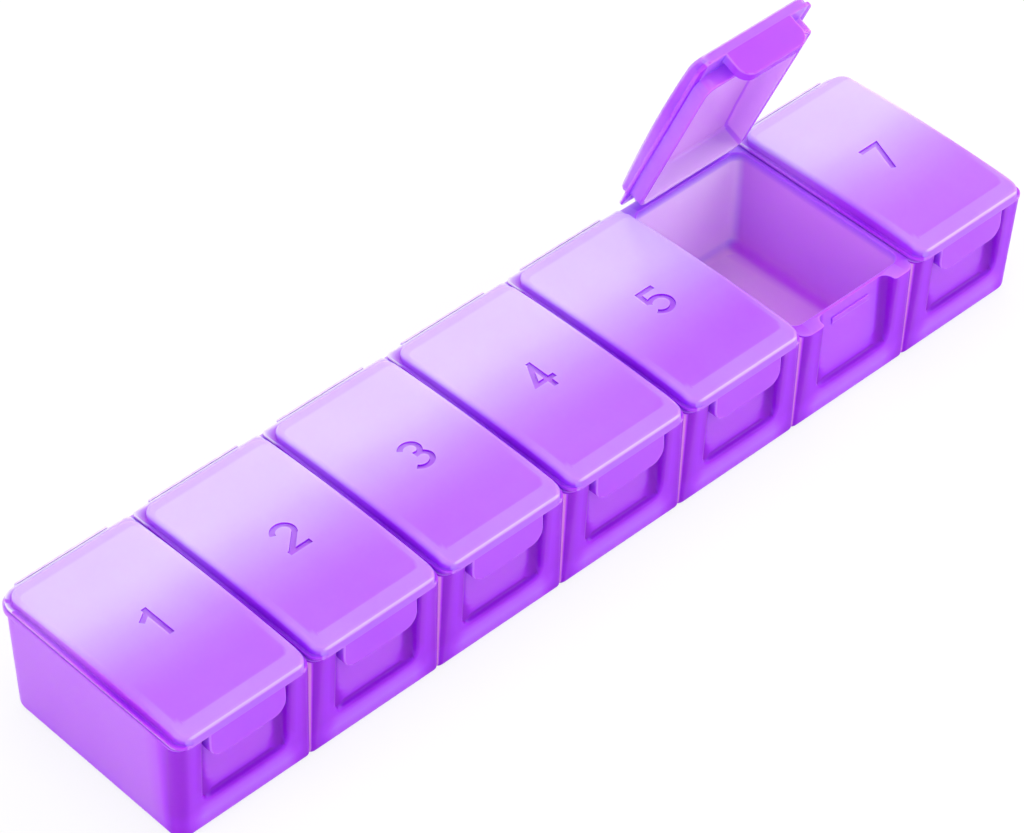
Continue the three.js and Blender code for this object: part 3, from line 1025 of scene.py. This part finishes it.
# The lip's tone is painted shade round the recess's lip
LIP_SHADE, LIP_RUN = 0.05, (0, 2.2)
FOOT_FADE = (0.75, 1, 0.5, 4)
# A painted highlight down the bottom of each groove
GROOVE_HIGHLIGHT_TONE = 0.85
GROOVE_HIGHLIGHT_DEPTH = 6
GROOVE_HIGHLIGHT_SHARES = (0.28, 0.12)

# Warmth is painted bounce light, as shares of RETURNED_RED
LID_WARMTH, SKIRT_WARMTH, HOLLOW_WARMTH = 0.12, 0.2, 0.5
DOME_WALL_WARMTH, DOME_WALL_WARMTH_RUN = 0.3, (0.5, 1.2)
DOME_WALL_LEVEL, DOME_WALL_START = 0.9, 2
OUTSIDE_WARMTH, FRONT_WARMTH, GROOVE_HIGHLIGHT_WARMTH = 0.1, 0.15, 1.2
FRONT_WARMTH_DEPTH = 3.5
WELL_WARMTH_FADE, WELL_BACK_WARMTH = (1, 0.72, 2, 8), 0.2
MOUTH_RUN = (RIM - 0.3, RIM - 2)
BELOW_RIM = 0.5


def reach(value, start, end):
    """How far a value has come from a start to an end, as a soft share. The end may be lower."""
    share = min(1, max(0, (value - start) / (end - start)))
    return share * share * (3 - 2 * share)


def fade(value, stops):
    first, last, start, end = stops
    return mix(first, last, reach(value, start, end))


def corner_distance(across, y, half, front, radius):
    """How far a place lies outside a shape with straight sides and rounded front corners."""
    dx, dy = across - (half - radius), front + radius - y
    return min(max(dx, dy), 0) + math.hypot(max(dx, 0), max(dy, 0)) - radius


def in_well(across, y, z):
    """Whether a place is on the wall, floor or rounded brim of a compartment's well."""
    ahead = corner_distance(across, y, WELL_HALF, FRONT_WALL, WELL_CORNER)
    behind = corner_distance(across, -y, WELL_HALF, -WELL_BACK, WELL_CORNER)
    return max(ahead, behind) < WELL_EASE + 2 * TOUCH and z >= FLOOR


def on_dome_wall(across, y):
    return across > DOME_HALF - DOME_SIDE_ROUND or y > DOME_BACK - DOME_SIDE_ROUND


def lid_thinness_and_painted_light(x, y, z, level):
    """Palest on the thin flange and deeper in the solid front and the tab. The dome pales towards
    its back as a painted sheen, with painted light on its front slope and a painted highlight on
    its front edge;
    painted shade deepens its walls, its back edge, the walls and floor of the engraved number and
    the flanges' sides between lids. The hollow is painted pale as painted light, with painted shade
    in its fillet, and a painted highlight pales the tab's edges and the flanges' outer ends."""
    across = abs(x)
    sunk = roof(y) - z
    above, under = FLANGE_LOW + FLANGE_EASE, FLANGE_LOW - FLANGE_EASE
    front_face = abs(y - LID_FRONT - TAB_SET_IN) < 2 * MERGE and z < above
    if front_face or (z < under and y < SKIRT_FRONT - TAB_CLEAR):
        inside = -corner_distance(across, z, TAB_HALF, TAB_BOTTOM, TAB_CORNER)
        edge = inside < TAB_EASE / 2 and y < LID_FRONT + TAB_EASE and z < FLANGE_LOW - TAB_CLEAR
        # Painted highlight on the tab's edges
        return TAB_EDGE_HIGHLIGHT if edge else TAB_TONE
    hollow = corner_distance(
        across, y, SKIRT_HALF - SKIRT_THICK, SKIRT_FRONT + SKIRT_THICK, SKIRT_CORNER - SKIRT_THICK
    )
    if sunk > LID_WALL - NEAR and hollow < NEAR / 2 and y < SKIRT_BACK:
        # Painted light in the hollow, painted shade in its fillet
        if hollow > -NEAR:
            return HOLLOW_WALL_LIGHT
        return HOLLOW_FILLET_SHADE if hollow > NEAR - ROOF_FILLET else HOLLOW_ROOF_LIGHT
    if z < under:
        return SKIRT_TONE
    if z < above + TOUCH and across > LID_HALF - FLANGE_EASE - TOUCH:
        # Painted shade on the side edges between lids, a painted highlight on the outer ends
        return FLANGE_END_HIGHLIGHT if across > LID_HALF + NEAR / 2 else FLANGE_EDGE_SHADE
    foot = DOME_FOOT_ROUND + NEAR / 2
    outside = across > DOME_HALF + foot or y > DOME_BACK + foot
    if z < FLANGE_TOP + NEAR / 2 and y > DOME_BACK - FLANGE_CORNER_LENGTH and outside:
        return FLANGE_CORNER_TONE
    # Painted sheen, paler towards the dome's back
    tone = fade(y, DOME_SHEEN_FADE)
    # Painted shade on the walls and floor of the engraved number
    beside = across < NUMERAL_WIDTH and abs(y - NUMERAL_MIDDLE) < NUMERAL_HEIGHT
    if beside and -NEAR < sunk < 2 * NUMERAL_DEPTH:
        if level < STEEP:
            return tone - NUMERAL_WALL_SHADE
        if sunk > NUMERAL_FLOOR_SUNK:
            return tone - NUMERAL_FLOOR_SHADE
    # Painted light on the front slope, a painted highlight on the front edge, painted shade along
    # the back edge and on the walls
    rim = corner_distance(across, y, DOME_HALF - BAND_INSET, LID_FRONT + DOME_BEVEL, BAND_CORNER)
    band = reach(rim, *BAND_EDGE_RUN) * reach(y, *BAND_RUN) * reach(y, *BAND_START_RUN)
    glint = reach(y, *GLINT_RUN) * reach(sunk, *GLINT_SUNK_RUN)
    tail = corner_distance(across, -y, DOME_HALF - TAIL_INSET, TAIL_LENGTH - DOME_BACK, BAND_CORNER)
    tail = reach(tail, *TAIL_EDGE_RUN) * reach(y, *TAIL_RUN)
    wall = reach(sunk, *DOME_WALL_RUN) * on_dome_wall(across, y)
    tone += BAND_LIGHT * band + GLINT_TONE * glint
    return tone + TAIL_SHADE * tail + DOME_WALL_SHADE * wall


def groove_highlight(x, y, z):
    """1 in the bottom of a groove, where two rounded corners meet in a thin edge: the line that
    takes the painted highlight."""
    if y > GROOVE_HIGHLIGHT_DEPTH or z > RIM - BELOW_RIM or not 0 < round(x / PITCH) < DAYS:
        return 0
    aside = PITCH / 2 - abs((x % PITCH) - PITCH / 2)
    return reach(aside / groove_radius(z), *GROOVE_HIGHLIGHT_SHARES)


def tray_thinness_and_painted_light(x, y, z, level):
    """Pale where a thin wall has the light behind it, as at the back and on the ledge; deep where
    the plastic is thick, as in the ribs, the grooves and the front corners, and darker towards the
    foot.
    The wells are painted pale as painted light, palest at the back, with painted shade at their
    floors' sides; painted shade deepens the ribs towards the grooves, the recess's fillets and the
    lip round it, and a painted highlight runs down the bottom of each groove."""
    day = min(DAYS, max(1, int(x // PITCH) + 1))
    across = abs(x - middle_of(day))
    if in_well(across, y, z):
        # Painted light in the wells, palest at the back, with painted shade at the floor's sides
        wall = mix(fade(y, WELL_WALL_LIGHT_FADE), BRIM_TONE, reach(z, *BRIM_RUN))
        floor = mix(fade(y, WELL_FLOOR_LIGHT_FADE), WELL_SIDE_SHADE, reach(across, *WELL_SIDE_RUN))
        return mix(floor, wall, reach(z, *WELL_RISE_RUN))
    if z > LEDGE_LOW - NEAR and y > TRAY_DEPTH - BACK_DEPTH:
        return LEDGE_TONE
    if y > WELL_BACK - BACK_DEPTH:
        return fade(z, BACK_FADE)
    if y - front_plane(z) - max(0, FOOT_RADIUS - z) > FRONT_DEPTH:
        return fade(y, END_FADE) + fade(z, END_FOOT_FADE)
    if z > RIM - 2 * NEAR and level > STEEP:
        return RIM_TONE
    deep = -corner_distance(across, z, RECESS_HALF, RECESS_SILL, RECESS_FLOOR_CORNER)
    # Painted shade in the recess's fillets, deepest at its sides
    if min(RECESS_HALF - across, z - RECESS_SILL) > RECESS_LIP:
        side = reach(across, *RECESS_SIDE_RUN)
        start, end = mix(*RECESS_LINE_STARTS, side), mix(*RECESS_LINE_ENDS, side)
        return mix(mix(*RECESS_FILLET_SHADES, side), RECESS_TONE, reach(deep, start, end))
    edge = PITCH / 2 - across
    # Deeper towards the grooves, for the thicker plastic and as painted shade
    rib = fade(edge, RIB_FADE)
    sill = mix(rib + SILL_OVER_RIB, SILL_TONE, reach(edge, *SILL_RUN))
    # Painted shade round the recess's lip
    rib = mix(LIP_SHADE, rib, reach(-deep, *LIP_RUN))
    face = mix(sill, rib, reach(z, *SILL_RISE_RUN)) * fade(z, FOOT_FADE)
    # Painted highlight down the bottom of each groove
    return mix(face, GROOVE_HIGHLIGHT_TONE, groove_highlight(x, y, z))


def lid_painted_bounce_warmth(x, y, z, level):
    """Painted bounce light: the hollow, the walls and the tab take red, standing for light that has
    crossed other plastic.
    """
    across = abs(x)
    sunk = roof(y) - z
    within = SKIRT_FRONT - NEAR / 2 < y < SKIRT_BACK + NEAR / 2 and across < SKIRT_HALF + NEAR / 2
    if sunk > LID_WALL - NEAR and within:
        return HOLLOW_WARMTH if across < SKIRT_HALF - SKIRT_THICK + NEAR else SKIRT_WARMTH
    if z <= FLANGE_LOW + FLANGE_EASE:
        return LID_WARMTH
    if on_dome_wall(across, y) and level < DOME_WALL_LEVEL and y > DOME_WALL_START:
        return DOME_WALL_WARMTH * reach(sunk, *DOME_WALL_WARMTH_RUN)
    return 0


def tray_painted_bounce_warmth(x, y, z, level):
    """Painted bounce light: red where light that has crossed a compartment a few times would come
    back redder.
    """
    across = abs((x % PITCH) - PITCH / 2)
    if in_well(across, y, z):
        painted_bounce_warmth = mix(fade(z, WELL_WARMTH_FADE), WELL_BACK_WARMTH, reach(y, *WELL_BACK_RUN))
        return painted_bounce_warmth * reach(z, *MOUTH_RUN)
    front = y < FRONT_WARMTH_DEPTH and z < RIM - BELOW_RIM
    return mix(FRONT_WARMTH if front else OUTSIDE_WARMTH, GROOVE_HIGHLIGHT_WARMTH, groove_highlight(x, y, z))


# Geometry Nodes


def node_tree(name, sizes):
    """A Geometry Nodes tree with named inputs for its sizes, and their sockets inside it."""
    tree = bpy.data.node_groups.new(name, "GeometryNodeTree")
    for kind, labels in sizes.items():
        for label in labels:
            tree.interface.new_socket(label, in_out="INPUT", socket_type="NodeSocket" + kind)
    tree.interface.new_socket("Geometry", in_out="OUTPUT", socket_type="NodeSocketGeometry")
    return tree, add(tree, "NodeGroupInput").outputs


def grow(name, tree, values, material):
    """A plain mesh made by a tree with these values for its inputs."""
    obj = in_scene(name, bpy.data.meshes.new(name))
    modifier = obj.modifiers.new(name, "NODES")
    modifier.node_group = tree
    for item in tree.interface.items_tree:
        if item.item_type == "SOCKET" and item.in_out == "INPUT":
            modifier[item.identifier] = values.get(item.name, material)
    settle(obj)
    return obj


def sweep(tree, size, path, profile):
    """A profile with eased corners swept along a path and closed at both ends."""
    eased = add(
        tree,
        "GeometryNodeFilletCurve",
        {"Curve": profile, "Count": EASE_STEPS, "Radius": size["Edge radius"]},
        mode="POLY",
    )
    return add(
        tree, "GeometryNodeCurveToMesh", {"Curve": path, "Profile Curve": eased, "Fill Caps": True}
    )


def close_tree(tree, size, geometry):
    real = add(tree, "GeometryNodeRealizeInstances", {"Geometry": geometry})
    finish = add(tree, "GeometryNodeSetMaterial", {"Geometry": real, "Material": size["Material"]})
    add(tree, "NodeGroupOutput", {0: finish})
    return tree


def catch_tree():
    """A row of snap wedges: a four-cornered profile swept along each one, repeated at the pitch."""
    tree, size = node_tree(
        "row_of_catch_wedges",
        {
            "Int": ["Count"],
            "Float": ["Pitch", "Width", "Edge radius"],
            "Vector": ["First middle", "Top inside", "Top outside", "Low outside", "Low inside"],
            "Material": ["Material"],
        },
    )
    left, right = (
        add(tree, "ShaderNodeMath", {0: size["Width"], 1: share}, operation="MULTIPLY")
        for share in (-0.5, 0.5)
    )
    start = add(tree, "ShaderNodeCombineXYZ", {"X": left})
    end = add(tree, "ShaderNodeCombineXYZ", {"X": right})
    path = add(tree, "GeometryNodeCurvePrimitiveLine", {"Start": start, "End": end})
    profile = add(
        tree,
        "GeometryNodeCurvePrimitiveQuadrilateral",
        {
            "Point 1": size["Top inside"],
            "Point 2": size["Top outside"],
            "Point 3": size["Low outside"],
            "Point 4": size["Low inside"],
        },
        mode="POINTS",
    )
    wedge = sweep(tree, size, path, profile)
    offset = add(tree, "ShaderNodeCombineXYZ", {"X": size["Pitch"]})
    line = add(
        tree,
        "GeometryNodeMeshLine",
        {"Count": size["Count"], "Start Location": size["First middle"], "Offset": offset},
    )
    row = add(tree, "GeometryNodeInstanceOnPoints", {"Points": line, "Instance": wedge})
    return close_tree(tree, size, row)


def film_tree():
    """A band swept along a bend from the ledge to the flange, with a rounded flat profile."""
    tree, size = node_tree(
        "hinge_film_along_bend",
        {
            "Vector": ["Start", "Start pull", "End pull", "End"],
            "Float": ["Width", "Thickness", "Edge radius"],
            "Material": ["Material"],
        },
    )
    bend = add(
        tree,
        "GeometryNodeCurvePrimitiveBezierSegment",
        {
            "Resolution": BEND_STEPS,
            "Start": size["Start"],
            "Start Handle": size["Start pull"],
            "End Handle": size["End pull"],
            "End": size["End"],
        },
    )
    upright = add(
        tree, "GeometryNodeSetCurveNormal", {"Curve": bend, "Normal": (1.0, 0.0, 0.0)}, mode="FREE"
    )
    profile = add(
        tree,
        "GeometryNodeCurvePrimitiveQuadrilateral",
        {"Width": size["Width"], "Height": size["Thickness"]},
    )
    return close_tree(tree, size, sweep(tree, size, upright, profile))


# Pieces


def dress(obj, thinness_and_painted_light, painted_bounce_warmth, material, turn=0, across=0):
    """Paints a finished shape by its rules, moves it into place and gives it its plastic."""
    paint(obj, "thinness_and_painted_light", thinness_and_painted_light)
    paint(obj, "painted_bounce_warmth", painted_bounce_warmth)
    smooth(obj)
    place(obj, turn, across)
    obj.data.materials.clear()
    obj.data.materials.append(material)


def make_tray():
    tray = tray_shell().finish("moulded_tray")
    wedges = grow(
        "catch_wedges",
        catch_tree(),
        {
            "Count": DAYS,
            "Pitch": PITCH,
            "Width": CATCH_WIDTH,
            "Edge radius": CATCH_EASE,
            "First middle": (PITCH / 2, RECESS_DEPTH, CATCH_TOP),
            "Top inside": (-CATCH_SUNK, 0, 0),
            "Top outside": (CATCH_PROUD, 0, 0),
            "Low outside": (CATCH_PROUD, CATCH_HEIGHT / 2, 0),
            "Low inside": (-CATCH_SUNK, CATCH_HEIGHT * CATCH_TAPER, 0),
        },
        TRAY_PP,
    )
    combine(tray, wedges, "UNION")
    dress(tray, tray_thinness_and_painted_light, tray_painted_bounce_warmth, TRAY_PP)
    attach(tray, "tray")
    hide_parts("tray")


def make_lid(day):
    lid = lid_shell(day).finish(f"numbered_lid_{day}")
    combine(lid, tab_shell().finish("tab"), "UNION")
    combine(lid, bead_shell().finish("bead"), "UNION")
    for shares in NUMERALS[day]:
        combine(lid, stroke_shell(shares).finish("stroke"), "DIFFERENCE")
    turn = OPEN_ANGLE if day == OPEN_DAY else 0
    dress(lid, lid_thinness_and_painted_light, lid_painted_bounce_warmth, LID_PP, turn, middle_of(day))
    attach(lid, f"lid_{day}")
    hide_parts(f"lid_day_{day}")


def make_film(day, tree):
    angle = math.radians(-OPEN_ANGLE if day == OPEN_DAY else 0)
    turn = Matrix.Rotation(angle, 3, "X")
    pivot = Vector((0, HINGE_Y, HINGE_Z))
    start = Vector((0, LEDGE_BACK, LEDGE_MIDDLE))
    end = pivot + turn @ (Vector((0, FLANGE_BACK + HINGE_GAP, FLANGE_MIDDLE)) - pivot)
    out = Vector((0, HINGE_LOOP, 0))
    film = grow(
        f"hinge_film_{day}",
        tree,
        {
            "Start": start,
            "Start pull": start + out,
            "End pull": end + turn @ out,
            "End": end,
            "Width": HINGE_WIDTH,
            "Thickness": HINGE_THICK,
            "Edge radius": HINGE_THICK / 3,
        },
        FILM,
    )
    film.data.shade_smooth()
    film.data.set_sharp_from_angle(angle=math.radians(FILM_CREASE_ANGLE))
    middle = middle_of(day)
    place(film, 0, middle)
    ends = [(point + SHIFT + Vector((middle, 0, 0))) * MM for point in (start, end)]
    tuple(ends[0])
    tuple(ends[1])
    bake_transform(film)
    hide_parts(f"hinge_strip_day_{day}")


make_tray()
for day in range(1, DAYS + 1):
    make_lid(day)
bend_tree = film_tree()
for day in range(1, DAYS + 1):
    make_film(day, bend_tree)


# Studio


FLOOR_GLOW = 0.8
FLOOR_HALF = 6.0
WORLD_LIGHT = 0.68

# Lamps, in metres and watts: azimuth and elevation in degrees, distance, size and power
SOFTBOXES = {
    "back_softbox": (45, 33, 1.4, (1.6, 0.7), 3),
    "right_softbox": (120, 33, 1.3, (1.0, 1.0), 8.5),
    "left_softbox": (-95, 30, 1.3, (0.9, 0.9), 4.5),
    "top_softbox": (20, 85, 1.3, (0.8, 0.8), 4.5),
}

# The photograph's camera, worked out from the tray's edges: width, height, focal length and
# optical centre in pixels, then its place in metres, the way it looks and its roll in degrees
PHOTO_WIDTH, PHOTO_HEIGHT = 1024, 833
PHOTO_FOCUS = 4392.866
PHOTO_CENTRE = (553.603, 414.943)
CAMERA_PLACE = (-0.415279, -0.432418, 0.589540)
CAMERA_AIM = (0.50454639, 0.51852794, -0.69033449)
CAMERA_ROLL = 0.904
SENSOR_WIDTH = 36
CAMERA_CLIP = (0.01, 50)


def floor_material():
    """White studio sweep: white to the camera, with a light shadow left under the object."""
    material, tree = new_material("white_studio_sweep")
    paths = add(tree, "ShaderNodeLightPath")
    paper = add(tree, "ShaderNodeBsdfDiffuse", {"Color": linear("#F6F6F6"), "Roughness": 0.5})
    glow = add(tree, "ShaderNodeEmission", {"Color": (1, 1, 1, 1), "Strength": 1.0})
    seen = add(
        tree,
        "ShaderNodeMath",
        {0: paths.outputs["Is Camera Ray"], 1: FLOOR_GLOW},
        operation="MULTIPLY",
    )
    both = add(tree, "ShaderNodeMixShader", {0: seen, 1: paper, 2: glow})
    add(tree, "ShaderNodeOutputMaterial", {"Surface": both})
    return material


def make_floor():
    mesh = bpy.data.meshes.new("studio_floor")
    ways = [(-1, -1), (1, -1), (1, 1), (-1, 1)]
    corners = [(FLOOR_HALF * x, FLOOR_HALF * y, 0) for x, y in ways]
    mesh.from_pydata(corners, [], [(0, 1, 2, 3)])
    mesh.materials.append(floor_material())
    floor = in_scene("studio_floor", mesh)


def make_world():
    world = bpy.data.worlds.new("studio")
    bpy.context.scene.world = world
    world.use_nodes = True
    tree = world.node_tree
    tree.nodes.clear()
    paths = add(tree, "ShaderNodeLightPath")
    either = add(
        tree,
        "ShaderNodeMath",
        {0: paths.outputs["Is Camera Ray"], 1: paths.outputs["Is Transmission Ray"]},
        operation="MAXIMUM",
    )
    level = add(
        tree, "ShaderNodeMapRange", {"Value": either, 1: 0.0, 2: 1.0, 3: WORLD_LIGHT, 4: 1.0}
    )
    light = add(tree, "ShaderNodeBackground", {"Color": (1, 1, 1, 1), "Strength": level})
    add(tree, "ShaderNodeOutputWorld", {"Surface": light})


def softbox(name, azimuth, elevation, distance, size, power):
    """An area lamp aimed at the organizer. Azimuth 0 stands behind it, and 90 to its right."""
    lamp = bpy.data.lights.new(name, "AREA")
    lamp.shape = "RECTANGLE"
    lamp.size, lamp.size_y = size
    lamp.energy = power
    obj = in_scene(name, lamp)
    turn, rise = math.radians(azimuth), math.radians(elevation)
    level = math.cos(rise)
    away = Vector((math.sin(turn) * level, math.cos(turn) * level, math.sin(rise)))
    obj.location = away * distance
    obj.rotation_mode = "QUATERNION"
    obj.rotation_quaternion = away.to_track_quat("Z", "Y")


def make_camera():
    data = bpy.data.cameras.new("camera")
    data.sensor_width = SENSOR_WIDTH
    data.lens = SENSOR_WIDTH * PHOTO_FOCUS / PHOTO_WIDTH
    data.shift_x = (PHOTO_WIDTH / 2 - PHOTO_CENTRE[0]) / PHOTO_WIDTH
    data.shift_y = (PHOTO_CENTRE[1] - PHOTO_HEIGHT / 2) / PHOTO_WIDTH
    data.clip_start, data.clip_end = CAMERA_CLIP
    camera = in_scene("camera", data)
    forward = Vector(CAMERA_AIM)
    level = forward.cross(Vector((0, 0, 1))).normalized()
    up = level.cross(forward).normalized()
    roll = math.radians(CAMERA_ROLL)
    right = level * math.cos(roll) + up * math.sin(roll)
    up = right.cross(forward)
    turn = Matrix((right, up, -forward)).transposed()
    camera.matrix_world = Matrix.LocRotScale(Vector(CAMERA_PLACE), turn.to_quaternion(), None)
    bpy.context.scene.camera = camera


make_floor()
make_world()
for name, setting in SOFTBOXES.items():
    softbox(name, *setting)
make_camera()

scene = bpy.context.scene
scene.view_settings.view_transform = "Standard"
